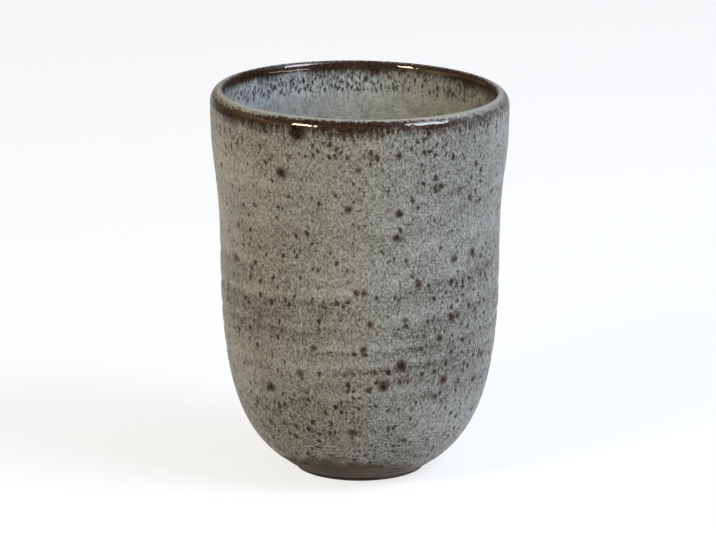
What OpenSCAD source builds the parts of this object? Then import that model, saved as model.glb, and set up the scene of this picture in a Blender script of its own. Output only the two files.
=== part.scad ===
// Yunomi tea cup of thrown stoneware, with a speckled grey glaze, an iron brown rim and a bare foot.
// The origin is the middle of the resting plane, +Z is up and the front faces -Y.

/* [Cup] */
// Height from the resting plane to the crest of the lip
cup_h = 104.5; // [96:0.5:120]
// Diameter over the glaze at the mouth
rim_d = 80; // [76:0.5:92]
// Diameter over the glaze at the slimmest part of the wall
waist_d = 75.2; // [68:0.2:84]
// Height of the slimmest part of the wall above the resting plane
waist_z = 58; // [48:0.5:70]
// Diameter over the glaze where the bowl starts above the foot
base_d = 37.6; // [36:0.2:46]

/* [Wall] */
// Thickness of the wall at its slimmest part, glaze included
wall_t = 4.2; // [3:0.1:6]
// Thickness of the floor in the middle, glaze included
floor_t = 5.5; // [4:0.1:9]
// Width of the rounded outer side of the lip
lip_out_w = 2.6; // [1.6:0.1:3.4]
// Height of the rounded outer side of the lip
lip_out_h = 3.6; // [2.4:0.1:6]
// Width of the rounded inner side of the lip
lip_in_w = 1.3; // [1:0.1:2]
// Height of the rounded inner side of the lip
lip_in_h = 2.4; // [1.6:0.1:4]

/* [Foot] */
// Outer diameter of the foot ring
foot_d = 35.2; // [30:0.2:36]
// Height of the foot ring
foot_h = 1.4; // [1:0.1:2.4]
// Width of the foot ring
foot_w = 5; // [3:0.1:8]
// Bevel that softens the two lower edges of the foot ring
foot_bevel = 0.5; // [0.2:0.05:0.8]
// Depth of the hollow under the floor, from the resting plane
hollow_h = 3; // [2.6:0.1:5]

/* [Glaze] */
// Thickness of the fired glaze
glaze_t = 0.45; // [0.3:0.05:0.8]
// Height of the glaze line above the resting plane
glaze_z = 4.2; // [3:0.1:8]
// Diameter of the largest iron spot
spot_d = 2.6; // [1.6:0.1:3.2]

/* [Hidden] */
$fn = 96;

// Steps along each stretch of the outline
bare_steps = 4;
bowl_steps = 18;
flare_steps = 12;
lip_steps = 8;
inner_steps = 12;
floor_steps = 18;
// Halvings that find the glaze line on the bowl's curve
search_steps = 24;

rim_r = rim_d / 2;
waist_r = waist_d / 2;
base_r = base_d / 2;
foot_r = foot_d / 2;
hollow_r = foot_r - foot_w;
crest_r = rim_r - lip_out_w;
mouth_r = crest_r - lip_in_w;
inner_waist_r = waist_r - wall_t;
floor_z = hollow_h + floor_t;
band_out_z = cup_h - lip_out_h;
band_in_z = cup_h - lip_in_h;
spot_reach = max(rim_d, waist_d);

// Handles of the curves, as shares of the stretch that each curve spans:
// first handle outwards and upwards and second handle upwards on the bowl, both handles of the flare,
// both handles of the inner wall, then the downward and inward handles of the inner floor
bowl_shares = [0.6, 0.12, 0.31];
flare_shares = [0.62, 0.54];
inner_shares = [0.5, 0.55];
floor_shares = [0.9, 0.7];

// Places of the iron spots: share of a turn from the front towards +X, share of the glazed height
// from the glaze line to the rim band, and diameter as a share of the largest spot
front_spot_shares = [
    [0.048, 0.345, 1.00],
    [0.028, 0.290, 0.90],
    [0.914, 0.876, 0.92],
    [0.885, 0.263, 0.84],
    [0.010, 0.280, 0.56],
    [0.058, 0.300, 0.46],
    [0.105, 0.286, 0.70],
    [0.095, 0.245, 0.60],
    [0.174, 0.328, 0.66],
    [0.137, 0.320, 0.50],
    [0.096, 0.409, 0.68],
    [0.111, 0.463, 0.70],
    [0.012, 0.465, 0.62],
    [0.052, 0.471, 0.54],
    [0.004, 0.391, 0.66],
    [0.996, 0.552, 0.56],
    [0.005, 0.552, 0.60],
    [0.067, 0.568, 0.62],
    [0.114, 0.625, 0.64],
    [0.144, 0.631, 0.70],
    [0.042, 0.703, 0.72],
    [0.043, 0.770, 0.66],
    [0.988, 0.788, 0.56],
    [0.999, 0.898, 0.54],
    [0.090, 0.838, 0.60],
    [0.041, 0.934, 0.60],
    [0.011, 0.945, 0.52],
    [0.139, 0.880, 0.50],
    [0.929, 0.319, 0.64],
    [0.947, 0.393, 0.58],
    [0.991, 0.153, 0.66],
    [0.872, 0.153, 0.58],
    [0.061, 0.119, 0.56],
];
back_spot_shares = [
    [0.21, 0.72, 0.60],
    [0.23, 0.45, 0.86],
    [0.25, 0.24, 0.56],
    [0.28, 0.62, 0.64],
    [0.31, 0.88, 0.72],
    [0.33, 0.36, 0.60],
    [0.36, 0.54, 0.94],
    [0.39, 0.20, 0.62],
    [0.42, 0.76, 0.58],
    [0.45, 0.41, 0.70],
    [0.48, 0.92, 0.54],
    [0.51, 0.30, 0.88],
    [0.54, 0.63, 0.60],
    [0.57, 0.48, 0.54],
    [0.60, 0.82, 0.80],
    [0.63, 0.26, 0.66],
    [0.66, 0.57, 0.70],
    [0.69, 0.38, 0.56],
    [0.72, 0.69, 0.96],
    [0.75, 0.16, 0.58],
    [0.78, 0.50, 0.62],
    [0.81, 0.85, 0.56],
    [0.83, 0.60, 0.60],
];
spot_shares = concat(front_spot_shares, back_spot_shares);

function along(a, b, share) = a + share * (b - a);

function curve_point(p, u) =
    (1 - u) ^ 3 * p[0] + 3 * u * (1 - u) ^ 2 * p[1] + 3 * u ^ 2 * (1 - u) * p[2] + u ^ 3 * p[3];

function curve_stretch(p, from, to, steps) =
    [for (i = [0:steps]) curve_point(p, along(from, to, i / steps))];

function arc_stretch(centre, w, h, from, to, steps) =
    [for (i = [0:steps]) let (a = along(from, to, i / steps)) centre + [w * cos(a), h * sin(a)]];

// Share of the way along a rising curve at which it reaches height z
function share_at(p, z, low = 0, high = 1, left = search_steps) =
    let (mid = (low + high) / 2)
    left == 0 ? mid
    : curve_point(p, mid)[1] < z ? share_at(p, z, mid, high, left - 1)
    : share_at(p, z, low, mid, left - 1);

// The list without its first point, so that two stretches that meet share one point
function after_first(points) = [for (i = [1:len(points) - 1]) points[i]];

function stretch_of(points, first, last) = [for (i = [first:last]) points[i]];

function reversed(points) = [for (i = [len(points) - 1:-1:0]) points[i]];

// The outline moved into the clay, which lies to the left of its direction
function moved_in(points, depth) = [
    for (i = [0:len(points) - 1])
        let (way = points[min(i + 1, len(points) - 1)] - points[max(i - 1, 0)])
        points[i] + depth / norm(way) * [-way[1], way[0]]
];

bowl_curve = [
    [base_r, foot_h],
    [along(base_r, waist_r, bowl_shares[0]), along(foot_h, waist_z, bowl_shares[1])],
    [waist_r, along(foot_h, waist_z, bowl_shares[2])],
    [waist_r, waist_z],
];
flare_curve = [
    [waist_r, waist_z],
    [waist_r, along(waist_z, band_out_z, flare_shares[0])],
    [rim_r, along(waist_z, band_out_z, flare_shares[1])],
    [rim_r, band_out_z],
];
inner_curve = [
    [mouth_r, band_in_z],
    [mouth_r, along(band_in_z, waist_z, inner_shares[0])],
    [inner_waist_r, along(band_in_z, waist_z, inner_shares[1])],
    [inner_waist_r, waist_z],
];
floor_curve = [
    [inner_waist_r, waist_z],
    [inner_waist_r, along(waist_z, floor_z, floor_shares[0])],
    [floor_shares[1] * inner_waist_r, floor_z],
    [0, floor_z],
];
glaze_start = share_at(bowl_curve, glaze_z);

// The finished surface from the foot, up the outside, over the lip and down to the middle of the floor
skin = concat(
    curve_stretch(bowl_curve, 0, glaze_start, bare_steps),
    after_first(curve_stretch(bowl_curve, glaze_start, 1, bowl_steps)),
    after_first(curve_stretch(flare_curve, 0, 1, flare_steps)),
    after_first(arc_stretch([crest_r, band_out_z], lip_out_w, lip_out_h, 0, 90, lip_steps)),
    after_first(arc_stretch([crest_r, band_in_z], lip_in_w, lip_in_h, 90, 180, lip_steps)),
    after_first(curve_stretch(inner_curve, 0, 1, inner_steps)),
    after_first(curve_stretch(floor_curve, 0, 1, floor_steps))
);
clay_skin = moved_in(skin, glaze_t);

// Numbers of the outline's points at which one coat ends and the next begins
line_at = bare_steps;
band_out_at = line_at + bowl_steps + flare_steps;
band_in_at = band_out_at + 2 * lip_steps;
middle_at = band_in_at + inner_steps + floor_steps;

// A coat of glaze between two points of the outline
module coat(first, last) {
    rotate_extrude()
        polygon(concat(stretch_of(skin, first, last), reversed(stretch_of(clay_skin, first, last))));
}

// A round bar from the axis out through the wall at each iron spot
module spot_bars() {
    for (spot = spot_shares)
        rotate([0, 0, 360 * spot[0]])
            translate([0, 0, along(glaze_z, band_out_z, spot[1])])
                rotate([90, 0, 0])
                    cylinder(h = spot_reach, d = spot[2] * spot_d);
}

// Thrown wall, bowl and floor, with the turned hollow inside the foot
module clay_body() {
    color("rosybrown")
        rotate_extrude()
            polygon(concat(
                [[0, hollow_h], [hollow_r, hollow_h], [hollow_r, foot_h], [foot_r, foot_h]],
                clay_skin
            ));
}

// Low ring of bare clay, luted under the body
module foot_ring() {
    color("dimgray")
        rotate_extrude()
            polygon([
                [hollow_r + foot_bevel, 0],
                [foot_r - foot_bevel, 0],
                [foot_r, foot_bevel],
                [foot_r, foot_h],
                [hollow_r, foot_h],
                [hollow_r, foot_bevel],
            ]);
}

// Dipped coat outside, from the glaze line to the rim band, open where the iron burns through
module outer_glaze() {
    color("darkgray")
        difference() {
            coat(line_at, band_out_at);
            spot_bars();
        }
}

// Poured liner inside, from the rim band to the middle of the floor
module inner_glaze() {
    color("silver")
        coat(band_in_at, middle_at);
}

// Iron wash fired over the lip
module rim_glaze() {
    color("saddlebrown")
        coat(band_out_at, band_in_at);
}

// Iron that melted through the outer coat, flush with it
module iron_spots() {
    color("maroon")
        intersection() {
            coat(line_at, band_out_at);
            spot_bars();
        }
}

clay_body();
foot_ring();
outer_glaze();
inner_glaze();
rim_glaze();
iron_spots();
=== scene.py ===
import math

import bmesh
import bpy
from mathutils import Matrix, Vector


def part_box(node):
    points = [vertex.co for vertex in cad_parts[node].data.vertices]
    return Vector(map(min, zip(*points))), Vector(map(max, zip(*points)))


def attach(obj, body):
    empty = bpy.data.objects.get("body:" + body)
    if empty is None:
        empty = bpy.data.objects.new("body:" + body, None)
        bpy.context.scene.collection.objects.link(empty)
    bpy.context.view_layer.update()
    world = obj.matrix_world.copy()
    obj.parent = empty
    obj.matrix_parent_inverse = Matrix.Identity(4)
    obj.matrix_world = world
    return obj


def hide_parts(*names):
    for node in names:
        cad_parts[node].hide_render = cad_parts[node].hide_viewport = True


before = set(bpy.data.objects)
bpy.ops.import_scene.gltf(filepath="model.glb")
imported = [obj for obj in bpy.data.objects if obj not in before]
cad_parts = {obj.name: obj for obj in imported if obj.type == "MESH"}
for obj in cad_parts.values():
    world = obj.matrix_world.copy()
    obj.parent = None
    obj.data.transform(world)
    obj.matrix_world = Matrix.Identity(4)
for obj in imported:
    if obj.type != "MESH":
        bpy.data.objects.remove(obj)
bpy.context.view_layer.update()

# Clay body
# One lump of grey brown stoneware, thrown into floor, bowl and wall, then trimmed at the foot.
# Only a narrow band above the foot and the hollow under the floor stay bare of glaze.
mm = 0.001
_, foot_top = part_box("foot_ring")
liner_bottom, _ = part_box("inner_glaze")
_, lip_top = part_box("rim_glaze")

glaze_depth = 0.45 * mm
cup_height = lip_top.z
rim_radius = lip_top.x
waist_radius = 37.6 * mm
waist_height = 58 * mm
base_radius = 18.8 * mm
foot_radius = foot_top.x
foot_height = foot_top.z
foot_width = 5 * mm
hollow_radius = foot_radius - foot_width
hollow_height = 3 * mm
floor_height = liner_bottom.z + glaze_depth
wall_depth = 4.2 * mm
lip_outside = (2.6 * mm, 3.6 * mm)  # width and height of the lip's round
lip_inside = (1.3 * mm, 2.4 * mm)
crest_radius = rim_radius - lip_outside[0]
mouth_radius = crest_radius - lip_inside[0]
inner_waist_radius = waist_radius - wall_depth
band_outside = cup_height - lip_outside[1]
band_inside = cup_height - lip_inside[1]
weld_reach = 0.002 * mm  # points nearer to each other than this become one
# Where the handles of the outline lie, as shares of the way to the next knot
quarter_round = 0.5523
bowl_out, bowl_up, bowl_end = 0.6, 0.12, 0.31
wall_start, wall_end = 0.62, 0.54
mouth_start, mouth_end = 0.5, 0.55
well_start, well_end = 0.9, 0.7


def along(low, high, share):
    return low + share * (high - low)


# Each knot of the outline: the handle before it, its place and the handle after it, as radius and height
base_knot = (
    (base_radius, foot_height),
    (base_radius, foot_height),
    (along(base_radius, waist_radius, bowl_out), along(foot_height, waist_height, bowl_up)),
)
waist_knot = (
    (waist_radius, along(foot_height, waist_height, bowl_end)),
    (waist_radius, waist_height),
    (waist_radius, along(waist_height, band_outside, wall_start)),
)
band_outside_knot = (
    (rim_radius, along(waist_height, band_outside, wall_end)),
    (rim_radius, band_outside),
    (rim_radius, along(band_outside, cup_height, quarter_round)),
)
crest_knot = (
    (along(crest_radius, rim_radius, quarter_round), cup_height),
    (crest_radius, cup_height),
    (along(crest_radius, mouth_radius, quarter_round), cup_height),
)
band_inside_knot = (
    (mouth_radius, along(band_inside, cup_height, quarter_round)),
    (mouth_radius, band_inside),
    (mouth_radius, along(band_inside, waist_height, mouth_start)),
)
inner_waist_knot = (
    (inner_waist_radius, along(band_inside, waist_height, mouth_end)),
    (inner_waist_radius, waist_height),
    (inner_waist_radius, along(waist_height, floor_height, well_start)),
)
floor_knot = (
    (well_end * inner_waist_radius, floor_height),
    (0, floor_height),
    (0, floor_height),
)
skin_knots = [
    base_knot, waist_knot, band_outside_knot, crest_knot,
    band_inside_knot, inner_waist_knot, floor_knot,
]


def sunk(knots, depth):
    """The knots moved into the clay, which lies to the left of the outline's direction."""
    moved = []
    for before, place, after in knots:
        way = (Vector(after) - Vector(before)).normalized()
        into = depth * Vector((-way.y, way.x))
        moved.append(tuple(tuple(Vector(point) + into) for point in (before, place, after)))
    return moved


def split(first, second, share):
    """Three knots that follow the curve between two knots and part it at a share of the way."""
    ends = (first[1], first[2], second[0], second[1])
    a, b, c, d = (Vector(point) for point in ends)
    start, between, end = a.lerp(b, share), b.lerp(c, share), c.lerp(d, share)
    before, after = start.lerp(between, share), between.lerp(end, share)
    parting = before.lerp(after, share)
    return (first[0], first[1], start), (before, parting, after), (end, second[1], second[2])


def corners(places):
    """Knots with no handles, for an outline of straight runs."""
    return [(place, place, place) for place in places]


def outline(name, knots, steps, closed=False):
    """A curve object that holds an outline in the XZ plane, with a number of steps between knots."""
    curve = bpy.data.curves.new(name, "CURVE")
    curve.dimensions = "3D"
    spline = curve.splines.new("BEZIER")
    spline.bezier_points.add(len(knots) - 1)
    for point, (before, place, after) in zip(spline.bezier_points, knots):
        point.handle_left_type = point.handle_right_type = "FREE"
        point.co = (place[0], 0, place[1])
        point.handle_left = (before[0], 0, before[1])
        point.handle_right = (after[0], 0, after[1])
    spline.resolution_u = steps
    spline.use_cyclic_u = closed
    made = bpy.data.objects.new(name, curve)
    bpy.context.scene.collection.objects.link(made)
    return made


def put(tree, kind, feeds=None, output=0, **settings):
    """Adds a node with its settings, links or sets its inputs, and gives back one of its outputs."""
    made = tree.nodes.new(kind)
    for name, value in settings.items():
        setattr(made, name, value)
    for key, value in (feeds or {}).items():
        if isinstance(key, str):
            socket = next(s for s in made.inputs if s.identifier == key)
        else:
            socket = made.inputs[key]
        if isinstance(value, bpy.types.NodeSocket):
            tree.links.new(value, socket)
        else:
            socket.default_value = value
    if isinstance(output, str):
        return next(s for s in made.outputs if s.identifier == output)
    return made.outputs[output]


def maths(tree, operation, *values):
    return put(tree, "ShaderNodeMath", dict(enumerate(values)), operation=operation)


def times(tree, first, *others):
    for other in others:
        first = maths(tree, "MULTIPLY", first, other)
    return first


def vectors(tree, operation, *values, output=0):
    return put(tree, "ShaderNodeVectorMath", dict(enumerate(values)), output, operation=operation)


def axes(tree, place):
    """The X, Y and Z of a place."""
    return put(tree, "ShaderNodeSeparateXYZ", {0: place}).node.outputs


def store(tree, shape, name, value, data_type="FLOAT", domain="POINT"):
    """The shape with a named attribute kept on it."""
    feeds = {"Geometry": shape, "Name": name, "Value": value}
    return put(tree, "GeometryNodeStoreNamedAttribute", feeds, data_type=data_type, domain=domain)


def ramp(tree, value, low, high, to_low=0.0, to_high=1.0, smooth=True):
    """The value eased from one range to another and held at its ends."""
    feeds = dict(enumerate((value, low, high, to_low, to_high)))
    return put(tree, "ShaderNodeMapRange", feeds, interpolation_type="SMOOTHSTEP" if smooth else "LINEAR")


def noise(tree, place, scale, detail=2.0, roughness=0.5):
    feeds = {"Vector": place, "Scale": scale, "Detail": detail, "Roughness": roughness}
    return put(tree, "ShaderNodeTexNoise", feeds)


def turning_tree():
    """Turns an outline about Z into a closed piece, with the unevenness of a pot thrown by hand."""
    tree = bpy.data.node_groups.new("turned_on_the_wheel", "GeometryNodeTree")
    sockets = tree.interface
    sockets.new_socket("Outline", in_out="INPUT", socket_type="NodeSocketGeometry")
    for name in ("Columns", "Back rows"):
        sockets.new_socket(name, in_out="INPUT", socket_type="NodeSocketInt")
    for name in (
        "Depth", "Start run", "Start rise", "Start waver",
        "Edge run", "Edge thinning", "Crest run", "Ring depth",
    ):
        sockets.new_socket(name, in_out="INPUT", socket_type="NodeSocketFloat")
    sockets.new_socket("Finish", in_out="INPUT", socket_type="NodeSocketMaterial")
    sockets.new_socket("Piece", in_out="OUTPUT", socket_type="NodeSocketGeometry")
    given = tree.nodes.new("NodeGroupInput").outputs

    # Grid whose columns go round the cup from the back and whose rows run along the skin and back under it
    curve = put(tree, "GeometryNodeResampleCurve", {"Curve": given["Outline"]}, mode="EVALUATED")
    count = put(tree, "GeometryNodeAttributeDomainSize", {"Geometry": curve}, component="CURVE")
    rows = maths(tree, "ADD", maths(tree, "ADD", count, given["Back rows"]), 1)
    columns = maths(tree, "ADD", given["Columns"], 1)
    grid = put(tree, "GeometryNodeMeshGrid", {"Vertices X": columns, "Vertices Y": rows})
    index = put(tree, "GeometryNodeInputIndex")
    column = maths(tree, "FLOOR", maths(tree, "DIVIDE", maths(tree, "ADD", index, 0.5), rows))
    row = maths(tree, "SUBTRACT", index, maths(tree, "MULTIPLY", column, rows))
    turn = maths(tree, "SUBTRACT", maths(tree, "DIVIDE", column, given["Columns"]), 0.5)
    angle = maths(tree, "MULTIPLY", turn, math.tau)
    sine = maths(tree, "SINE", angle)
    cosine = maths(tree, "COSINE", angle)

    # Row of the outline that each row of the grid follows: the back rows return from its end to its start
    last = maths(tree, "SUBTRACT", count, 1)
    back = maths(tree, "SUBTRACT", row, count)
    is_back = maths(tree, "GREATER_THAN", back, -0.5)
    closes = maths(tree, "GREATER_THAN", row, maths(tree, "SUBTRACT", rows, 1.5))
    steps_back = maths(tree, "MAXIMUM", maths(tree, "SUBTRACT", given["Back rows"], 1), 1)
    left = maths(tree, "SUBTRACT", 1, maths(tree, "DIVIDE", back, steps_back))
    back_row = maths(tree, "MULTIPLY", left, last)
    any_row = put(tree, "ShaderNodeMix", {"Factor_Float": is_back, "A_Float": row, "B_Float": back_row})
    open_row = maths(tree, "MULTIPLY", any_row, maths(tree, "SUBTRACT", 1, closes))
    own_row = maths(tree, "ROUND", open_row)
    reached = put(tree, "GeometryNodeSplineParameter", output="Length")
    run = put(tree, "GeometryNodeSampleIndex", {"Geometry": curve, "Value": reached, "Index": own_row})

    # The coat may start a little way up the outline, along a wavering line, with a thinned edge
    total = put(tree, "GeometryNodeCurveLength", {"Curve": curve})
    ring_place = put(tree, "ShaderNodeCombineXYZ", {"X": sine, "Y": cosine})
    waver = maths(tree, "SUBTRACT", noise(tree, ring_place, scale=2.3, detail=3.0, roughness=0.6), 0.5)
    highest_at, rise_reach = math.radians(-10), math.radians(66)
    off_highest = maths(tree, "ABSOLUTE", maths(tree, "SUBTRACT", angle, highest_at))
    rise = ramp(tree, off_highest, 0.0, rise_reach, 1.0, 0.0)
    start = maths(tree, "MULTIPLY_ADD", rise, given["Start rise"], given["Start run"])
    start = maths(tree, "MULTIPLY_ADD", waver, given["Start waver"], start)
    stretch = maths(tree, "DIVIDE", maths(tree, "SUBTRACT", total, start), total)
    place_run = maths(tree, "MULTIPLY_ADD", run, stretch, start)
    feeds = {"Curves": curve, "Length": place_run}
    sampled = put(tree, "GeometryNodeSampleCurve", feeds, "Position", mode="LENGTH")
    tangent = axes(tree, sampled.node.outputs["Tangent"])
    past_line = maths(tree, "SUBTRACT", place_run, start)
    edge_share = ramp(tree, past_line, 0, given["Edge run"], given["Edge thinning"], 0)
    hidden = maths(tree, "MULTIPLY", is_back, maths(tree, "SUBTRACT", 1, closes))
    depth = maths(tree, "MULTIPLY", maths(tree, "MAXIMUM", edge_share, hidden), given["Depth"])
    flat = axes(tree, sampled)
    radius = maths(tree, "SUBTRACT", flat["X"], maths(tree, "MULTIPLY", tangent["Z"], depth))
    height = maths(tree, "MULTIPLY_ADD", tangent["X"], depth, flat["Z"])

    # A spiral of finger rings climbs the wall, tilted and straying a little
    ring_heights = [19 * mm, 28 * mm, 37 * mm, 41.5 * mm, 48 * mm, 57 * mm, 66 * mm, 76 * mm, 87 * mm]
    ring_stray = 3.5 * mm
    across = maths(tree, "MULTIPLY", radius, sine)
    forward = maths(tree, "MULTIPLY", radius, cosine)
    even_place = put(tree, "ShaderNodeCombineXYZ", {"X": across, "Y": forward, "Z": height})
    tilt = ramp(tree, height, 42 * mm, 57 * mm, 0.02, 0.07)
    strays = maths(tree, "SUBTRACT", noise(tree, even_place, scale=48), 0.5)
    level = maths(tree, "SUBTRACT", height, maths(tree, "MULTIPLY", across, tilt))
    level = maths(tree, "MULTIPLY_ADD", strays, ring_stray, level)
    phase = maths(tree, "MULTIPLY", turn, -1)
    for low, high in zip(ring_heights, ring_heights[1:]):
        phase = maths(tree, "ADD", phase, ramp(tree, level, low, high, smooth=False))
    off_ring = maths(tree, "SUBTRACT", phase, maths(tree, "ROUND", phase))
    over_bowl = ramp(tree, height, 22 * mm, 36 * mm)
    past_middle = ramp(tree, height, 58 * mm, 64 * mm, 1.0, 0.2)
    under_lip = ramp(tree, height, 84 * mm, 97 * mm, 1.0, 0.0)
    in_places = ramp(tree, noise(tree, even_place, scale=27), 0.35, 0.6, 0.3, 1.0)
    fade = times(tree, over_bowl, past_middle, under_lip, in_places)

    def beside_ring(offset, reach):
        apart = maths(tree, "ABSOLUTE", maths(tree, "SUBTRACT", off_ring, offset))
        return maths(tree, "MULTIPLY", ramp(tree, apart, 0.0, reach, 1.0, 0.0), fade)

    # Radius and height after the rings, a slightly dented wall and a lip that dips to one side
    dent_depth = 0.2 * mm
    lip_slant = 1.2 * mm
    dents = maths(tree, "MULTIPLY", noise(tree, even_place, scale=34), dent_depth)
    groove = beside_ring(offset=0.0, reach=0.2)
    grooves = maths(tree, "MULTIPLY_ADD", groove, given["Ring depth"], dents)
    held_at_axis = maths(tree, "MINIMUM", maths(tree, "DIVIDE", radius, hollow_radius), 1)
    final_radius = maths(tree, "SUBTRACT", radius, maths(tree, "MULTIPLY", grooves, held_at_axis))
    dip = maths(tree, "MULTIPLY_ADD", maths(tree, "DIVIDE", across, rim_radius), 0.5, 0.5)
    raised = maths(tree, "POWER", maths(tree, "DIVIDE", height, cup_height), 2)
    sag = times(tree, dip, raised, lip_slant)
    place = put(tree, "ShaderNodeCombineXYZ", {
        "X": maths(tree, "MULTIPLY", final_radius, sine),
        "Y": times(tree, final_radius, cosine, -1),
        "Z": maths(tree, "SUBTRACT", height, sag),
    })

    # The finish reads how far a point lies past the lip's crest and the glaze line, and beside a ring
    shape = store(tree, grid, "OFBake", grid.node.outputs["UV Map"], data_type="FLOAT2", domain="CORNER")
    kept = {
        "past_crest": maths(tree, "SUBTRACT", place_run, given["Crest run"]),
        "past_line": past_line,
        "under_ring": beside_ring(offset=-0.13, reach=0.13),
        "over_ring": beside_ring(offset=0.18, reach=0.25),
    }
    for name, value in kept.items():
        shape = store(tree, shape, name, value)
    shape = put(tree, "GeometryNodeSetPosition", {"Geometry": shape, "Position": place})
    shape = put(tree, "GeometryNodeMergeByDistance", {"Geometry": shape, "Distance": weld_reach})
    shape = put(tree, "GeometryNodeSetShadeSmooth", {"Geometry": shape, "Shade Smooth": True})
    shape = put(tree, "GeometryNodeRealizeInstances", {"Geometry": shape})
    shape = put(tree, "GeometryNodeSetMaterial", {"Geometry": shape, "Material": given["Finish"]})
    tree.links.new(shape, tree.nodes.new("NodeGroupOutput").inputs[0])
    return tree


turning = turning_tree()


def evaluated(source, tree, values, name):
    """Runs a tree on an object, keeps the result as a plain mesh object and removes the source."""
    modifier = source.modifiers.new(tree.name, "NODES")
    modifier.node_group = tree
    for item in tree.interface.items_tree:
        if item.item_type == "SOCKET" and item.in_out == "INPUT" and item.name in values:
            modifier[item.identifier] = values[item.name]
    graph = bpy.context.evaluated_depsgraph_get()
    mesh = bpy.data.meshes.new_from_object(source.evaluated_get(graph), depsgraph=graph)
    source.modifiers.remove(modifier)
    bpy.data.objects.remove(source)
    made = bpy.data.objects.new(name, mesh)
    bpy.context.scene.collection.objects.link(made)
    return made


def turned(name, source, finish, **values):
    """A closed piece turned from an outline, with its loose edges cleared and its sharp edges marked."""
    sharp_angle = math.radians(40)
    sizes = {
        "Columns": 320, "Back rows": 0, "Depth": 0.0, "Ring depth": 0.0, "Crest run": 1.0, "Finish": finish,
        "Start run": 0.0, "Start rise": 0.0, "Start waver": 0.0, "Edge run": mm, "Edge thinning": 0.0,
    }
    sizes |= {key.replace("_", " ").capitalize(): value for key, value in values.items()}
    made = evaluated(source, turning, sizes, name)
    shape = bmesh.new()
    shape.from_mesh(made.data)
    loose = [edge for edge in shape.edges if not edge.link_faces]
    bmesh.ops.delete(shape, geom=loose, context="EDGES")
    bmesh.ops.recalc_face_normals(shape, faces=shape.faces)
    shape.to_mesh(made.data)
    shape.free()
    made.data.set_sharp_from_angle(angle=sharp_angle)
    return made


def srgb(red, green, blue):
    """A colour as it shows on screen, 0 to 255, as the linear values that shaders take."""
    def linear(value):
        share = value / 255
        return share / 12.92 if share <= 0.04045 else ((share + 0.055) / 1.055) ** 2.4
    return (linear(red), linear(green), linear(blue), 1.0)


def mixed(tree, share, first, second):
    feeds = {"Factor_Float": share, "A_Color": first, "B_Color": second}
    return put(tree, "ShaderNodeMix", feeds, "Result_Color", data_type="RGBA")


def new_finish(name):
    """A material with its node tree, its surface shader and the place on the piece in metres."""
    finish = bpy.data.materials.new(name)
    finish.use_nodes = True
    tree = finish.node_tree
    place = put(tree, "ShaderNodeTexCoord", output="Object")
    return finish, tree, tree.nodes["Principled BSDF"], place


def link(tree, shader, **sockets):
    for name, value in sockets.items():
        tree.links.new(value, shader.inputs[name.replace("_", " ")])


def swing(tree, value, width, onto):
    """A value from 0 to 1 made to swing the other by up to half the width either way."""
    return maths(tree, "MULTIPLY_ADD", maths(tree, "SUBTRACT", value, 0.5), width, onto)


def from_front(tree, flat):
    """Degrees round the cup from its front, positive to the right."""
    radians = maths(tree, "ARCTAN2", flat["X"], maths(tree, "MULTIPLY", flat["Y"], -1.0))
    return maths(tree, "DEGREES", radians)


def bare_clay(name, light, dark, dusty, line_scale):
    """Unglazed fired clay with iron grains, fine turned lines, and a film of glaze wiped over one side."""
    finish, tree, shader, place = new_finish(name)
    flat = axes(tree, place)
    level = put(tree, "ShaderNodeCombineXYZ", {"X": flat["X"], "Y": flat["Y"]})
    radius = vectors(tree, "LENGTH", level, output="Value")
    line_place = put(tree, "ShaderNodeCombineXYZ", {"Z": maths(tree, "ADD", radius, flat["Z"])})
    lines = noise(tree, line_place, scale=line_scale, roughness=0.6)
    grain = noise(tree, place, scale=1700, detail=3.0, roughness=0.65)
    blotch = noise(tree, place, scale=160, detail=3.0)
    tone = swing(tree, lines, 2.2, swing(tree, grain, 1.2, swing(tree, blotch, 2.0, 0.5)))
    colour = mixed(tree, ramp(tree, tone, 0.0, 1.0), dark, light)
    round_angle = from_front(tree, flat)
    # The film starts raggedly to the right of the front, ends before the back and spares the underside
    film_start = swing(tree, grain, 69, swing(tree, blotch, 86, round_angle))
    film = ramp(tree, film_start, 11.5, 57.3, 0.0, 0.75)
    before_back = ramp(tree, round_angle, 80, 137.5, 1.0, 0.0)
    outside = ramp(tree, radius, foot_radius - 2 * mm, foot_radius - 0.5 * mm)
    off_table = ramp(tree, flat["Z"], 0.1 * mm, 0.6 * mm)
    colour = mixed(tree, times(tree, film, before_back, outside, off_table), colour, dusty)
    relief = maths(tree, "MULTIPLY_ADD", lines, 0.7, maths(tree, "MULTIPLY", grain, 0.3))
    bump = put(tree, "ShaderNodeBump", {"Strength": 0.6, "Distance": 0.15 * mm, "Height": relief})
    link(tree, shader, Base_Color=colour, Normal=bump, Roughness=ramp(tree, grain, 0.3, 0.7, 0.62, 0.85))
    return finish


clay_light = srgb(108, 86, 67)
clay_dark = srgb(46, 35, 26)
clay_dusty = srgb(158, 152, 145)
clay_finish = bare_clay("bare_clay", clay_light, clay_dark, clay_dusty, line_scale=600)
clay_knots = corners([(0, hollow_height), (hollow_radius, hollow_height)])
clay_knots += corners([(hollow_radius, foot_height), (foot_radius, foot_height)])
bare_share = 0.3         # of the outline from the base to the waist, where the clay steps in under the coat
bare_knot, glazed_knot, above_knot = split(base_knot, waist_knot, bare_share)
clay_knots += [bare_knot] + sunk([glazed_knot, above_knot] + skin_knots[2:], glaze_depth)
clay_curve = outline("clay_outline", clay_knots, steps=20)
clay_body = turned("clay_wall", clay_curve, clay_finish, columns=400)
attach(clay_body, "root")
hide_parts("clay_body")

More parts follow.
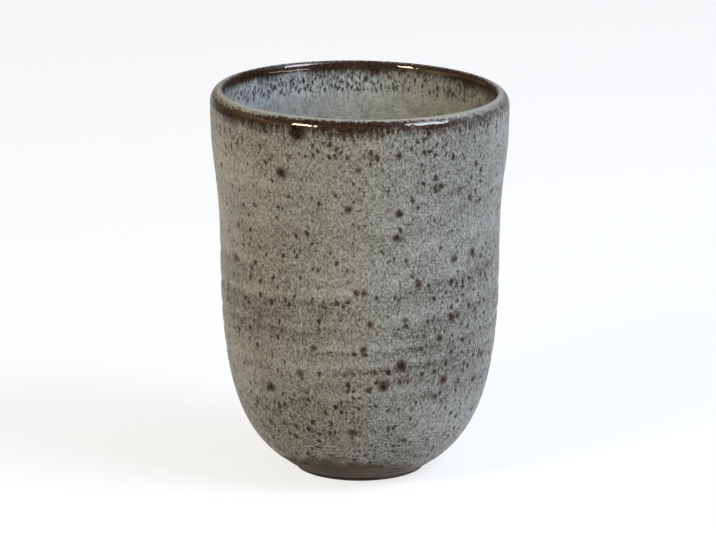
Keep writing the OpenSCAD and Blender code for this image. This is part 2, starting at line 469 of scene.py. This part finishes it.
# Foot ring
# A low ring of the same clay, luted under the body and trimmed with it on the wheel.
# It is bare and smoothed along its edges by use, and the cup rests on it.
foot_bevel = 0.5 * mm
foot_worn = 0.15 * mm
foot_spread = 0.4 * mm
foot_swell = 0.24 * mm
foot_outline = corners([
    (hollow_radius + foot_bevel, 0),
    (foot_radius - foot_bevel, 0),
    (foot_radius, foot_worn),
    (foot_radius + foot_swell, foot_bevel),
    (foot_radius + foot_spread, foot_height),
    (hollow_radius, foot_height),
    (hollow_radius, foot_bevel),
    (hollow_radius + foot_worn, foot_worn),
])
foot_light = srgb(86, 69, 55)
foot_dark = srgb(30, 23, 17)
foot_dusty = srgb(126, 121, 116)
foot_finish = bare_clay("foot_clay", foot_light, foot_dark, foot_dusty, line_scale=900)
foot_curve = outline("foot_outline", foot_outline, steps=4, closed=True)
foot_ring = turned("foot_ring_turned", foot_curve, foot_finish)
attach(foot_ring, "root")
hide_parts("foot_ring")

# Outer glaze
# A pale grey stoneware glaze, dipped to a wavering line just above the foot and fired satin.
# Iron in the clay bleeds through it as dense speckle, most of all under the finger rings.
pale = srgb(226, 221, 207)
middle = srgb(159, 153, 140)
shade = srgb(89, 79, 59)
crest_pale = srgb(210, 204, 190)
fleck_brown = srgb(45, 33, 16)
iron_red = srgb(108, 67, 45)
iron_olive = srgb(84, 71, 44)
iron_dark = srgb(36, 20, 12)
rim_brown = srgb(84, 50, 29)
rim_dark = srgb(24, 13, 8)
edge_brown = srgb(66, 50, 31)
drop_red = srgb(88, 46, 32)
thin_brown = srgb(98, 84, 70)
# Drops of iron below the lip: degrees round from the front, half their width, and how far down they reach
drops = [(-24.2, 2.3 * mm, 7.8 * mm), (141, 1.8 * mm, 7.9 * mm), (-128, 1.5 * mm, 7.4 * mm)]
drop_middle = 5.2 * mm
# Where the lip's iron is thin outside: degrees round from the front, reach in degrees, and share left
weak_sides = [(78, 50, 0.28), (-98, 38, 0.35)]
weakest_reach = 0.35     # share of that reach over which it is thinnest
# Slides the clouds of speckle round the cup until they lie about as the photograph shows
cloud_shift = (0.08, 2.19, -2.55)


def dots(tree, place, scale, least, largest, soft, crowd=None):
    """Round dots of random size, one to each cell whose random number, raised in a crowd, passes least."""
    feeds = {"Vector": place, "Scale": scale, "Randomness": 1.0}
    cell = put(tree, "ShaderNodeTexVoronoi", feeds, "Distance")
    chances = put(tree, "ShaderNodeSeparateColor", {0: cell.node.outputs["Color"]}).node.outputs
    chance = maths(tree, "ADD", chances[0], crowd) if crowd else chances[0]
    size = ramp(tree, chance, least, 1.0, 0.0, largest, smooth=False)
    inside = maths(tree, "DIVIDE", maths(tree, "SUBTRACT", size, cell), soft)
    return maths(tree, "MINIMUM", maths(tree, "MAXIMUM", inside, 0.0), 1.0), chances[1]


def stretched(tree, place, share):
    """The place with its height shortened or drawn out, so that a pattern on it runs up or round the wall."""
    return vectors(tree, "MULTIPLY", place, (1.0, 1.0, share))


def attribute(tree, name):
    return put(tree, "ShaderNodeAttribute", output="Fac", attribute_name=name)


def roughened(tree, place, reach):
    """The place pushed about by fine noise, so that dots on it get ragged edges."""
    push = noise(tree, place, scale=1200).node.outputs["Color"]
    centred = vectors(tree, "SUBTRACT", push, (0.5, 0.5, 0.5))
    return vectors(tree, "MULTIPLY_ADD", centred, (reach, reach, reach), place)


def away_from(tree, round_angle, degrees):
    """Degrees round the cup, either way, from a place at so many degrees off the front."""
    return maths(tree, "ABSOLUTE", maths(tree, "SUBTRACT", round_angle, degrees))


def iron_wash(tree, place, rough_place, colour):
    """Lays the lip's iron over a colour: pale on the crest, solid below it, then running down in dashes."""
    past = attribute(tree, "past_crest")
    inside = maths(tree, "GREATER_THAN", past, 0.0)
    run = maths(tree, "ABSOLUTE", past)

    def by_side(outer, inner):
        return put(tree, "ShaderNodeMix", {"Factor_Float": inside, "A_Float": outer, "B_Float": inner})

    # The band is weaker at the cup's two sides, where it breaks up into streaks
    round_angle = from_front(tree, axes(tree, place))
    strength = 1.0
    for degrees, reach, weakest in weak_sides:
        off = away_from(tree, round_angle, degrees)
        held = ramp(tree, off, weakest_reach * reach, reach, weakest, 1.0)
        strength = maths(tree, "MULTIPLY", by_side(held, 1.0), strength)

    # Its lower edge hangs in hairs, lower at the left outside and at the right inside
    hairs = noise(tree, stretched(tree, place, 0.2), scale=1300, roughness=0.6)
    sway = noise(tree, place, scale=110)
    fine = noise(tree, place, scale=1500)
    hair_reach = by_side(-7.0 * mm, -3.5 * mm)
    ragged = swing(tree, hairs, hair_reach, swing(tree, sway, -4.0 * mm, run))
    lowest = ramp(tree, away_from(tree, round_angle, -90), 37.2, 65.9, 5.6 * mm, 4.4 * mm)
    lowest_inside = ramp(tree, away_from(tree, round_angle, 90), 14.3, 60.2, 4.8 * mm, 3.4 * mm)
    beyond = maths(tree, "SUBTRACT", ragged, by_side(lowest, lowest_inside))
    solid = ramp(tree, beyond, -1.7 * mm, 2.0 * mm, 1.0, 0.0)

    # It has run off the crest, farthest at the two sides and least at the back
    off_front = away_from(tree, round_angle, 0)
    wider = ramp(tree, off_front, 12, 55, 1.2 * mm, 2.3 * mm)
    to_back = ramp(tree, off_front, 95, 135, 1.0, 0.35)
    width = maths(tree, "MULTIPLY", by_side(wider, 0.5 * mm), to_back)
    crest_edge = maths(tree, "SUBTRACT", swing(tree, fine, 3.0 * mm, run), width)
    crest = ramp(tree, crest_edge, -0.5 * mm, 0.5 * mm)
    share = times(tree, solid, strength, crest)

    # Dashes and streaks run on below it
    near_outside = ramp(tree, run, 4.0 * mm, 9.0 * mm, 0.3, -0.6, smooth=False)
    off_dashes = maths(tree, "ABSOLUTE", maths(tree, "SUBTRACT", run, 6.5 * mm))
    near_inside = ramp(tree, off_dashes, 1.5 * mm, 4.0 * mm, 0.3, -0.6)
    near = by_side(near_outside, near_inside)
    near = maths(tree, "MULTIPLY_ADD", maths(tree, "SUBTRACT", 1.0, strength), 0.5, near)
    dash_place = stretched(tree, rough_place, 0.42)
    dashes, _ = dots(tree, dash_place, scale=1500, least=0.15, largest=0.68, soft=0.28, crowd=near)
    dashes = maths(tree, "MULTIPLY", dashes, ramp(tree, run, 1.5 * mm, 3.0 * mm, 0.0, 0.88))
    streaks = noise(tree, stretched(tree, place, 0.3), scale=1900, detail=1.0)
    streak_fade = ramp(tree, run, 3.0 * mm, by_side(7.5 * mm, 9.5 * mm), 0.75, 0.0)
    streaks = times(tree, ramp(tree, streaks, 0.45, 0.7), streak_fade, strength, crest)

    # A few drops hang from it outside
    fallen = 0.0
    for degrees, half_width, drop_end in drops:
        turn = math.radians(degrees)
        drop_axis = (rim_radius * math.sin(turn), -rim_radius * math.cos(turn), 0.0)
        apart = vectors(tree, "DISTANCE", stretched(tree, place, 0.0), drop_axis, output="Value")
        aside = maths(tree, "POWER", maths(tree, "DIVIDE", apart, half_width), 2)
        down = maths(tree, "DIVIDE", maths(tree, "SUBTRACT", run, drop_middle), drop_end - drop_middle)
        off_drop = maths(tree, "ADD", aside, maths(tree, "POWER", down, 2))
        drop = ramp(tree, swing(tree, fine, 2.2, off_drop), 0.0, 1.8, 1.0, 0.0)
        fallen = maths(tree, "MAXIMUM", by_side(maths(tree, "MULTIPLY", drop, crest), 0.0), fallen)

    # Milky grey on the crest, then dashes, the brown band and the drops over it
    milkiest = ramp(tree, away_from(tree, round_angle, -115), 17.2, 63, 0.5, 0.95)
    top = ramp(tree, run, 0.5 * mm, 1.7 * mm, milkiest, 0.0)
    colour = mixed(tree, maths(tree, "MULTIPLY", top, to_back), colour, crest_pale)
    colour = mixed(tree, maths(tree, "MAXIMUM", dashes, streaks), colour, fleck_brown)
    brown = mixed(tree, ramp(tree, swing(tree, fine, 1.0, hairs), 0.3, 0.75), rim_dark, rim_brown)
    brown = mixed(tree, ramp(tree, beyond, -1.5 * mm, 1.0 * mm, 0.0, 0.8), brown, edge_brown)
    colour = mixed(tree, share, colour, brown)
    drop_colour = mixed(tree, ramp(tree, fallen, 0.45, 1.0), drop_red, rim_dark)
    wet = maths(tree, "MULTIPLY", ramp(tree, run, 4.5 * mm, 8.0 * mm, 1.0, 0.0), strength)
    return mixed(tree, fallen, colour, drop_colour), maths(tree, "MAXIMUM", wet, fallen)


def speckled_glaze(name, lip=False):
    """The outer glaze: mottled grey, flecked with iron, brown under the lip and thin at the foot."""
    finish, tree, shader, place = new_finish(name)
    rough_place = roughened(tree, stretched(tree, place, 0.75), 1.3 * mm)
    cloud_place = vectors(tree, "ADD", stretched(tree, place, 2.0), cloud_shift)
    clouds = noise(tree, cloud_place, scale=30, detail=3.0, roughness=0.55)
    mottle = noise(tree, place, scale=420, roughness=0.6)
    grain = noise(tree, stretched(tree, place, 0.65), scale=2100, roughness=0.6)
    over_ring = attribute(tree, "over_ring")
    under_ring = attribute(tree, "under_ring")
    flat = axes(tree, place)
    height = flat["Z"]
    round_angle = from_front(tree, flat)

    # Grey that goes from dark to pale with the clouds, the grain and the rings
    # Painted shade: the grey is painted darker towards the bottom of the bowl
    tone = ramp(tree, height, 30 * mm, 95 * mm, 0.53, 0.67, smooth=False)
    # Painted light: low on the bowl the grey is painted paler towards the right, where the window light falls
    painted_light_right = ramp(tree, flat["X"], 0.0, rim_radius, 0.0, 0.4)
    painted_light_low = ramp(tree, height, 14 * mm, 46 * mm, 1.0, 0.0)
    tone = maths(tree, "MULTIPLY_ADD", painted_light_right, painted_light_low, tone)
    tone = swing(tree, mottle, 0.6, swing(tree, clouds, 1.0, tone))
    grain_width = ramp(tree, height, 10 * mm, 32 * mm, 4.0, 2.8)
    # Painted light and shade at the rings: the grey is painted paler above each ring as its lit top, and
    # darker under it as its shadow
    tone = swing(tree, grain, grain_width, maths(tree, "MULTIPLY_ADD", over_ring, 0.42, tone))
    tone = maths(tree, "MULTIPLY_ADD", under_ring, -0.3, tone)
    colour = mixed(tree, ramp(tree, tone, 0.0, 0.5, smooth=False), shade, middle)
    colour = mixed(tree, ramp(tree, tone, 0.5, 1.3, smooth=False), colour, pale)

    # Fine flecks and larger blots, which crowd low down and under the rings
    crowd = swing(tree, clouds, -0.65, ramp(tree, height, 10 * mm, 40 * mm, 0.16, 0.0))
    crowd = maths(tree, "MULTIPLY_ADD", under_ring, 0.35, crowd)
    crowd = maths(tree, "MULTIPLY_ADD", over_ring, -0.2, crowd)
    flecks, _ = dots(tree, rough_place, scale=1300, least=0.58, largest=0.66, soft=0.2, crowd=crowd)
    colour = mixed(tree, maths(tree, "MULTIPLY", flecks, 0.46), colour, fleck_brown)
    blots, blot_kind = dots(tree, rough_place, scale=660, least=0.37, largest=0.54, soft=0.19, crowd=crowd)
    blot_colour = mixed(tree, ramp(tree, blot_kind, 0.9, 1.0, 0.0, 0.7), fleck_brown, iron_red)
    colour = mixed(tree, maths(tree, "MULTIPLY", blots, 0.83), colour, blot_colour)

    # The iron of a spot, which fires olive low on the left and red elsewhere
    iron = attribute(tree, "iron")
    ragged = swing(tree, noise(tree, place, scale=1000, roughness=0.6), 0.9, iron)
    ruddy = ramp(tree, away_from(tree, round_angle, -70), 48.7, 65.9)
    ruddy = maths(tree, "MAXIMUM", ruddy, ramp(tree, height, 55 * mm, 70 * mm))
    halo_colour = mixed(tree, ruddy, iron_olive, iron_red)
    core_colour = mixed(tree, ruddy, fleck_brown, iron_dark)
    fringe = times(tree, ramp(tree, ragged, -0.1, 0.5), ramp(tree, iron, 0.0, 0.3), 0.6)
    colour = mixed(tree, fringe, colour, halo_colour)
    core = maths(tree, "MULTIPLY", ramp(tree, ragged, 0.1, 0.95), ramp(tree, iron, 0.05, 0.5))
    colour = mixed(tree, maths(tree, "MULTIPLY", core, 0.95), colour, core_colour)

    colour, wet = iron_wash(tree, place, rough_place, colour)
    peel = noise(tree, place, scale=700)
    relief = maths(tree, "MULTIPLY_ADD", peel, 0.6, maths(tree, "MULTIPLY", grain, 0.3))
    relief = maths(tree, "MULTIPLY", relief, maths(tree, "MULTIPLY_ADD", wet, -0.9, 1.0))
    bump = put(tree, "ShaderNodeBump", {"Strength": 0.35, "Distance": 0.08 * mm, "Height": relief})
    satin = ramp(tree, grain, 0.3, 0.7, 0.4, 0.52)
    gloss = maths(tree, "MULTIPLY_ADD", maths(tree, "SUBTRACT", 0.06, satin), wet, satin)
    if lip:
        # The melted iron is glassy on the turns of the lip, and dull on its crest and where it is thin
        shader.inputs["IOR"].default_value = 1.6
        shader.inputs["Specular Tint"].default_value = (1.0, 0.88, 0.74, 1.0)
        waves = noise(tree, place, scale=210)
        feeds = {"Strength": 1.0, "Distance": 0.3 * mm, "Height": waves, "Normal": bump}
        bump = put(tree, "ShaderNodeBump", feeds)
        past = attribute(tree, "past_crest")
        outer_gloss = ramp(tree, past, -2.6 * mm, -1.5 * mm, 1.0, 0.12)
        dim_left = ramp(tree, away_from(tree, round_angle, -95), 31.5, 60.2, 0.1, 1.0)
        inner_gloss = ramp(tree, past, 0.3 * mm, 0.9 * mm, 0.12, 1.0)
        dim_front = ramp(tree, away_from(tree, round_angle, 0), 126, 149, 0.2, 1.0)
        outer_gloss = maths(tree, "MULTIPLY", outer_gloss, dim_left)
        inner_gloss = maths(tree, "MULTIPLY", inner_gloss, dim_front)
        shine = maths(tree, "MAXIMUM", outer_gloss, inner_gloss)
        shine = maths(tree, "MULTIPLY", shine, ramp(tree, past, -4.2 * mm, -3.0 * mm, 0.12, 1.0))
    else:
        # The coat thins to brown along its line above the foot, least of all at the right
        worn = swing(tree, mottle, 9.0 * mm, attribute(tree, "past_line"))
        covered = ramp(tree, away_from(tree, round_angle, 63), 17.2, 51.6, 0.35, 1.0)
        thin = maths(tree, "MULTIPLY", ramp(tree, worn, 0.5 * mm, 7.0 * mm, 0.94, 0.0), covered)
        colour = mixed(tree, thin, colour, thin_brown)
        gloss = maths(tree, "MULTIPLY_ADD", thin, 0.35, gloss)
        dull = maths(tree, "MAXIMUM", blots, core)
        for layer in (thin, wet):
            dull = maths(tree, "MAXIMUM", dull, layer)
        shine = maths(tree, "MULTIPLY_ADD", dull, -0.22, 0.32)
    link(tree, shader, Base_Color=colour, Normal=bump, Roughness=gloss, Specular_IOR_Level=shine)
    return finish


def quarter_run(width, height):
    """Length of a quarter of an ellipse."""
    return math.pi / 4 * (3 * (width + height) - math.sqrt((3 * width + height) * (width + 3 * height)))


lip_outside_run = quarter_run(*lip_outside)
lip_inside_run = quarter_run(*lip_inside)
bare_run = 1.8 * mm      # how far up the outline the clay stays bare, and what is added at the front
bare_rise = 5.6 * mm
back_rows = 14           # rows of mesh on the hidden side of a coat
outer_curve = outline("outer_outline", [base_knot, waist_knot, band_outside_knot], steps=80)
outer_run = outer_curve.data.splines[0].calc_length(resolution=256)
outer_finish = speckled_glaze("speckled_glaze")
outer_glaze = turned(
    "outer_glaze_coat", outer_curve, outer_finish, columns=400, back_rows=back_rows, depth=glaze_depth,
    start_run=bare_run, start_rise=bare_rise, start_waver=4 * mm, edge_run=3 * mm, edge_thinning=0.8,
    crest_run=outer_run + lip_outside_run, ring_depth=0.3 * mm,
)
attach(outer_glaze, "root")
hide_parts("outer_glaze")

# Inner glaze
# The same grey glaze poured inside and tipped out, smoother and paler than the outside.
# Below the brown lip the iron has run down it in short dark dashes.
liner_pale = srgb(224, 222, 212)
liner_shade = srgb(163, 160, 149)
# Partly painted light: the milk of the streaks brightens the inner left and back
milk_and_painted_light = srgb(247, 248, 246)
# Painted shade: olive for the inner right wall
painted_shade_olive = srgb(142, 133, 106)


def poured_glaze(name):
    """The liner: pale and even, with a few fine flecks, under the iron that runs from the lip."""
    finish, tree, shader, place = new_finish(name)
    rough_place = roughened(tree, place, 0.8 * mm)
    mottle = noise(tree, place, scale=260, detail=3.0, roughness=0.6)
    grain = noise(tree, place, scale=1500, roughness=0.6)
    tone = swing(tree, grain, 1.3, mottle)
    colour = mixed(tree, ramp(tree, tone, 0.2, 0.8, smooth=False), liner_shade, liner_pale)
    # Under the lip it is streaked with milk at the left and back, partly real streaks and partly painted
    # light, and painted olive at the right as painted shade
    off_right = away_from(tree, from_front(tree, axes(tree, place)), 90)
    streaks = noise(tree, stretched(tree, place, 0.3), scale=1400)
    milk_and_light_fade = ramp(tree, attribute(tree, "past_crest"), 6 * mm, 15 * mm, 0.9, 0.0)
    milk_and_light = times(tree, ramp(tree, streaks, 0.36, 0.6), milk_and_light_fade, ramp(tree, off_right, 34.4, 91.7))
    colour = mixed(tree, milk_and_light, colour, milk_and_painted_light)
    # Painted shade: the inner right wall is painted olive
    colour = mixed(tree, ramp(tree, off_right, 22.9, 80.2, 0.35, 0.0), colour, painted_shade_olive)
    flecks, _ = dots(tree, rough_place, scale=1300, least=0.6, largest=0.5, soft=0.2)
    colour = mixed(tree, maths(tree, "MULTIPLY", flecks, 0.45), colour, fleck_brown)
    colour, wet = iron_wash(tree, place, rough_place, colour)
    bump = put(tree, "ShaderNodeBump", {"Strength": 0.25, "Distance": 0.06 * mm, "Height": mottle})
    satin = ramp(tree, mottle, 0.3, 0.7, 0.32, 0.44)
    gloss = maths(tree, "MULTIPLY_ADD", maths(tree, "SUBTRACT", 0.1, satin), wet, satin)
    link(tree, shader, Base_Color=colour, Normal=bump, Roughness=gloss)
    shader.inputs["Specular IOR Level"].default_value = 0.3
    return finish


inner_curve = outline("inner_outline", [band_inside_knot, inner_waist_knot, floor_knot], steps=64)
inner_finish = poured_glaze("liner_glaze")
inner_glaze = turned(
    "inner_glaze_coat", inner_curve, inner_finish, back_rows=back_rows, depth=glaze_depth,
    crest_run=-lip_inside_run,
)
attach(inner_glaze, "root")
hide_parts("inner_glaze")

# Rim glaze
# An iron wash brushed over the rounded lip before firing, which melts to a glossy dark brown.
# It runs thin on the crest, where the grey shows through, and joins the coats on both sides.
rim_curve = outline("rim_outline", [band_outside_knot, crest_knot, band_inside_knot], steps=16)
rim_finish = speckled_glaze("iron_rim", lip=True)
rim_glaze = turned(
    "rim_glaze_band", rim_curve, rim_finish, columns=400, back_rows=back_rows, depth=glaze_depth,
    crest_run=lip_outside_run,
)
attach(rim_glaze, "root")
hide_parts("rim_glaze")

# Iron spots
# Larger grains of iron in the clay that melted up through the outer coat in the kiln.
# Each is a shallow blister with a dark middle and a soft brown halo that fades into the glaze.
halo_share = 2.0         # radius of the halo over that of the spot
blister_rise = 0.06 * mm


def spot_points():
    """One loose point for each solid of the iron spots, with its radius as an attribute."""
    shape = bmesh.new()
    shape.from_mesh(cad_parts["iron_spots"].data)
    bmesh.ops.remove_doubles(shape, verts=shape.verts, dist=weld_reach)
    waiting = set(shape.verts)
    places, radii = [], []
    for first in shape.verts:
        if first not in waiting:
            continue
        waiting.remove(first)
        group = [first]
        for vert in group:
            for edge in vert.link_edges:
                other = edge.other_vert(vert)
                if other in waiting:
                    waiting.remove(other)
                    group.append(other)
        heights = [vert.co.z for vert in group]
        places.append(sum((vert.co for vert in group), Vector()) / len(group))
        radii.append((max(heights) - min(heights)) / 2)
    shape.free()
    mesh = bpy.data.meshes.new("spot_points")
    mesh.from_pydata(places, [], [])
    mesh.attributes.new("spot_radius", "FLOAT", "POINT").data.foreach_set("value", radii)
    made = bpy.data.objects.new("spot_points", mesh)
    bpy.context.scene.collection.objects.link(made)
    return made


def stored(tree, name):
    """The named attribute kept on a shape."""
    return put(tree, "GeometryNodeInputNamedAttribute", {"Name": name}, data_type="FLOAT")


def spot_tree():
    """Sets a fine disc at each point, lays it on the coat and swells it into a shallow blister."""
    tree = bpy.data.node_groups.new("iron_blisters", "GeometryNodeTree")
    sockets = tree.interface
    sockets.new_socket("Points", in_out="INPUT", socket_type="NodeSocketGeometry")
    sockets.new_socket("Coat", in_out="INPUT", socket_type="NodeSocketObject")
    for name in ("Halo share", "Rise"):
        sockets.new_socket(name, in_out="INPUT", socket_type="NodeSocketFloat")
    sockets.new_socket("Finish", in_out="INPUT", socket_type="NodeSocketMaterial")
    sockets.new_socket("Piece", in_out="OUTPUT", socket_type="NodeSocketGeometry")
    given = tree.nodes.new("NodeGroupInput").outputs

    # Disc made of rings, as a grid wrapped round its middle, where its iron is strongest
    rings, spokes = 12, 36
    grid = put(tree, "GeometryNodeMeshGrid", {"Vertices X": spokes + 1, "Vertices Y": rings + 1})
    index = put(tree, "GeometryNodeInputIndex")
    spoke = maths(tree, "FLOOR", maths(tree, "DIVIDE", maths(tree, "ADD", index, 0.5), rings + 1))
    ring = maths(tree, "SUBTRACT", index, maths(tree, "MULTIPLY", spoke, rings + 1))
    out = maths(tree, "DIVIDE", ring, rings)
    angle = maths(tree, "MULTIPLY", spoke, math.tau / spokes)
    flat = put(tree, "ShaderNodeCombineXYZ", {
        "X": maths(tree, "MULTIPLY", out, maths(tree, "COSINE", angle)),
        "Y": maths(tree, "MULTIPLY", out, maths(tree, "SINE", angle)),
    })
    disc_weld = 0.001    # of the disc's radius, which is 1 until it is copied
    disc = store(tree, grid, "iron", maths(tree, "SUBTRACT", 1.0, out))
    disc = put(tree, "GeometryNodeSetPosition", {"Geometry": disc, "Position": flat})
    disc = put(tree, "GeometryNodeMergeByDistance", {"Geometry": disc, "Distance": disc_weld})

    # Points moved out of the wall, away from the middle of the bowl, to just off the coat's skin
    bowl_middle = 45 * mm
    push = (0.05, 0.05, 0.05)
    feeds = {"Object": given["Coat"]}
    coat = put(tree, "GeometryNodeObjectInfo", feeds, "Geometry", transform_space="RELATIVE")
    normal = put(tree, "GeometryNodeInputNormal")
    place = put(tree, "GeometryNodeInputPosition")
    level = maths(tree, "MAXIMUM", axes(tree, place)["Z"], bowl_middle)
    middle_up = put(tree, "ShaderNodeCombineXYZ", {"Z": level})
    away = vectors(tree, "SUBTRACT", place, middle_up)
    outside = vectors(tree, "MULTIPLY_ADD", away, push, place)
    points = put(tree, "GeometryNodeSetPosition", {"Geometry": given["Points"], "Position": outside})
    laid = put(tree, "GeometryNodeProximity", {"Target": coat}, "Position", target_element="FACES")
    feeds = {"Mesh": coat, "Value": normal}
    leaning = put(tree, "GeometryNodeSampleNearestSurface", feeds, data_type="FLOAT_VECTOR")
    above = vectors(tree, "MULTIPLY_ADD", leaning, (mm, mm, mm), laid)
    points = put(tree, "GeometryNodeSetPosition", {"Geometry": points, "Position": above})

    # Copies of the disc that face along the coat's normal, each a little out of round
    stretch_seed = 0
    radius = stored(tree, "spot_radius")
    halo = maths(tree, "MULTIPLY", radius, given["Halo share"])
    facing = put(tree, "FunctionNodeAlignRotationToVector", {"Vector": leaning}, axis="Z")
    feeds = {0: (0.85, 0.85, 1.0), 1: (1.2, 1.2, 1.0), "Seed": stretch_seed}
    stretch = put(tree, "FunctionNodeRandomValue", feeds, data_type="FLOAT_VECTOR")
    size = put(tree, "ShaderNodeVectorMath", {0: stretch, "Scale": halo}, operation="SCALE")
    copies = put(tree, "GeometryNodeInstanceOnPoints", {
        "Points": points, "Instance": disc, "Rotation": facing, "Scale": size,
    })
    discs = put(tree, "GeometryNodeRealizeInstances", {"Geometry": copies})

    # They take on what the coat has stored, and are laid on it with their edge just under its skin
    for name in ("past_crest", "past_line", "under_ring", "over_ring"):
        feeds = {"Mesh": coat, "Value": stored(tree, name)}
        below = put(tree, "GeometryNodeSampleNearestSurface", feeds, data_type="FLOAT")
        discs = store(tree, discs, name, below)
    edge_step = 0.015 * mm
    own_iron = stored(tree, "iron")
    swell = maths(tree, "MULTIPLY", ramp(tree, own_iron, 0.0, 1.0), given["Rise"])
    tuck = ramp(tree, own_iron, 0.0, 0.06, -1.0, 0.4)
    lift = maths(tree, "MULTIPLY_ADD", tuck, edge_step, swell)
    proud = put(tree, "ShaderNodeVectorMath", {0: leaning, "Scale": lift}, operation="SCALE")
    discs = put(tree, "GeometryNodeSetPosition", {"Geometry": discs, "Position": laid, "Offset": proud})
    weaker = maths(tree, "MULTIPLY", own_iron, ramp(tree, radius, 0.5 * mm, 1.1 * mm, 0.66, 1.0))
    discs = store(tree, discs, "iron", weaker)
    discs = put(tree, "GeometryNodeSetShadeSmooth", {"Geometry": discs, "Shade Smooth": True})
    discs = put(tree, "GeometryNodeSetMaterial", {"Geometry": discs, "Material": given["Finish"]})
    tree.links.new(discs, tree.nodes.new("NodeGroupOutput").inputs[0])
    return tree


iron_finish = speckled_glaze("iron_spot")
iron_spots = evaluated(spot_points(), spot_tree(), {
    "Coat": outer_glaze, "Halo share": halo_share, "Rise": blister_rise, "Finish": iron_finish,
}, "iron_spot_blisters")
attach(iron_spots, "root")
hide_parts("iron_spots")

# Floor and surroundings
# A plain white table top that runs out to a white room, and keeps the cup's soft shadow.
# The room gives a little even light, and five soft lamps stand for its lamp, wall and windows.
floor_half = 3.0
floor_level = -0.02 * mm  # a hair below the foot, so that the two faces do not fight
backdrop_glow = 0.74     # brings the lit table up to white for the camera and in reflections
room_light = 0.16
table_grey = srgb(180, 180, 180)
table_pale = srgb(184, 184, 184)
floor_mesh = bpy.data.meshes.new("floor")
floor_corners = [
    (-floor_half, -floor_half, floor_level), (floor_half, -floor_half, floor_level),
    (floor_half, floor_half, floor_level), (-floor_half, floor_half, floor_level),
]
floor_mesh.from_pydata(floor_corners, [], [(0, 1, 2, 3)])
floor = bpy.data.objects.new("floor", floor_mesh)
bpy.context.scene.collection.objects.link(floor)
floor_finish, tree, shader, place = new_finish("white_table")
link(tree, shader, Base_Color=mixed(tree, noise(tree, place, scale=3), table_grey, table_pale))
shader.inputs["Roughness"].default_value = 0.9
shader.inputs["Specular IOR Level"].default_value = 0.1
path = put(tree, "ShaderNodeLightPath").node.outputs
shown = maths(tree, "MAXIMUM", path["Is Camera Ray"], path["Is Glossy Ray"])
shown = maths(tree, "MAXIMUM", shown, path["Is Transmission Ray"])
strength = maths(tree, "MULTIPLY", shown, backdrop_glow)
glow = put(tree, "ShaderNodeEmission", {"Color": (1, 1, 1, 1), "Strength": strength})
both = put(tree, "ShaderNodeAddShader", {0: shader.outputs["BSDF"], 1: glow})
tree.links.new(both, tree.nodes["Material Output"].inputs["Surface"])
floor_mesh.materials.append(floor_finish)

world = bpy.data.worlds.new("soft_room")
bpy.context.scene.world = world
world.use_nodes = True
room = world.node_tree.nodes["Background"].inputs
room["Color"].default_value = (1, 1, 1, 1)
room["Strength"].default_value = room_light


def softbox(name, round_deg, height_deg, size, light, colour):
    """A lamp aimed at the middle of the cup: degrees round from the front and up, its size and light."""
    reach = 1.3
    lamp = bpy.data.lights.new(name, "AREA")
    lamp.shape = "RECTANGLE"
    lamp.size, lamp.size_y = size
    lamp.energy = light * math.pi * reach * reach
    lamp.color = colour
    made = bpy.data.objects.new(name, lamp)
    turn, rise = math.radians(round_deg), math.radians(height_deg)
    away = Vector((math.sin(turn) * math.cos(rise), -math.cos(turn) * math.cos(rise), math.sin(rise)))
    made.location = away * reach + Vector((0, 0, cup_height / 2))
    made.rotation_euler = away.to_track_quat("Z", "Y").to_euler()
    bpy.context.scene.collection.objects.link(made)


softbox("left_lamp", -44, 33, size=(0.3, 0.17), light=0.76, colour=(1.0, 0.94, 0.7))
softbox("right_window", 64, 45, size=(0.55, 0.5), light=1.4, colour=(0.65, 0.78, 1.0))
softbox("left_wall", -95, 3, size=(2.2, 1.2), light=0.76, colour=(1.0, 0.84, 0.37))
softbox("window_sill", 66, 1, size=(1.0, 0.3), light=0.74, colour=(0.69, 0.79, 1.0))
softbox("skylight", 85, 58, size=(1.0, 1.0), light=0.47, colour=(0.55, 0.68, 1.0))

# Camera
# It stands in front and a little above, as far off as the photograph's flat perspective shows.
# Its rise, reach and aim come from fitting the cup's outline to the photograph.
photo_width = 716        # in pixels
photo_focal = 4005       # focal length in pixels of the photograph
camera_rise = math.radians(14.77)
camera_reach = 1078.9 * mm
aim = Vector((-0.48 * mm, 0, 54.1 * mm))
camera_data = bpy.data.cameras.new("camera")
camera_data.sensor_width = 36
camera_data.lens = camera_data.sensor_width * photo_focal / photo_width
camera = bpy.data.objects.new("camera", camera_data)
back = Vector((0, -math.cos(camera_rise), math.sin(camera_rise)))
camera.location = aim + camera_reach * back
camera.rotation_euler = back.to_track_quat("Z", "Y").to_euler()
bpy.context.scene.collection.objects.link(camera)
bpy.context.scene.camera = camera
bpy.context.scene.view_settings.view_transform = "Standard"
